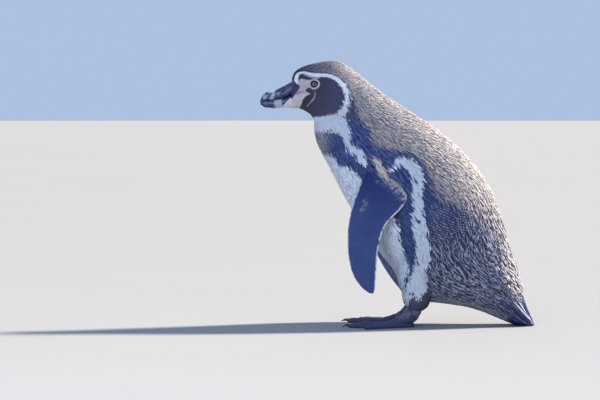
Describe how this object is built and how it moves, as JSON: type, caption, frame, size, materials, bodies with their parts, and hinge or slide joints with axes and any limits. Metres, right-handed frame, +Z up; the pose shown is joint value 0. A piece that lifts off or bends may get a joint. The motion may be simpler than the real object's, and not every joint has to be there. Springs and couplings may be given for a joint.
{
  "type": "humboldt penguin",
  "caption": "Life-size penguin with banded head and breast, leaning forward with its neck drawn in, standing on webbed feet and the tip of its tail.",
  "frame": {"origin": "on the floor, below the middle of the bird's box", "axes": "+Z up, -Y the way the bill points, +X the bird's left side"},
  "size_m": [0.206, 0.4512, 0.4369],
  "materials": {
    "face_plumage": "dense short black feathers, matt",
    "back_plumage": "grey-brown feathers with pale worn tips",
    "belly_plumage": "white feathers, soft sheen",
    "tail_plumage": "stiff dark feathers with pale edges",
    "flipper_plumage": "scale-like slate-black feathers",
    "horn": "dark horn with a pale band, satin",
    "bare_skin": "pink bare skin of the face",
    "eye": "dark red-brown iris under a clear wet cornea",
    "foot_skin": "black scaly skin with pink blotches",
    "claw": "dark horn"
  },
  "bodies": {
    "root": {"head": "face_plumage", "bill_upper": "horn", "bill_lower": "horn", "eye_left": "eye", "eye_right": "eye", "neck": "back_plumage", "trunk": "back_plumage", "tail": "tail_plumage", "flipper_left": "flipper_plumage", "flipper_right": "flipper_plumage", "leg_left": "belly_plumage", "leg_right": "belly_plumage", "foot_left": "foot_skin", "foot_right": "foot_skin", "claw_left_inner": "claw", "claw_left_middle": "claw", "claw_left_outer": "claw", "claw_left_hind": "claw", "claw_right_inner": "claw", "claw_right_middle": "claw", "claw_right_outer": "claw", "claw_right_hind": "claw"}
  },
  "joints": []
}
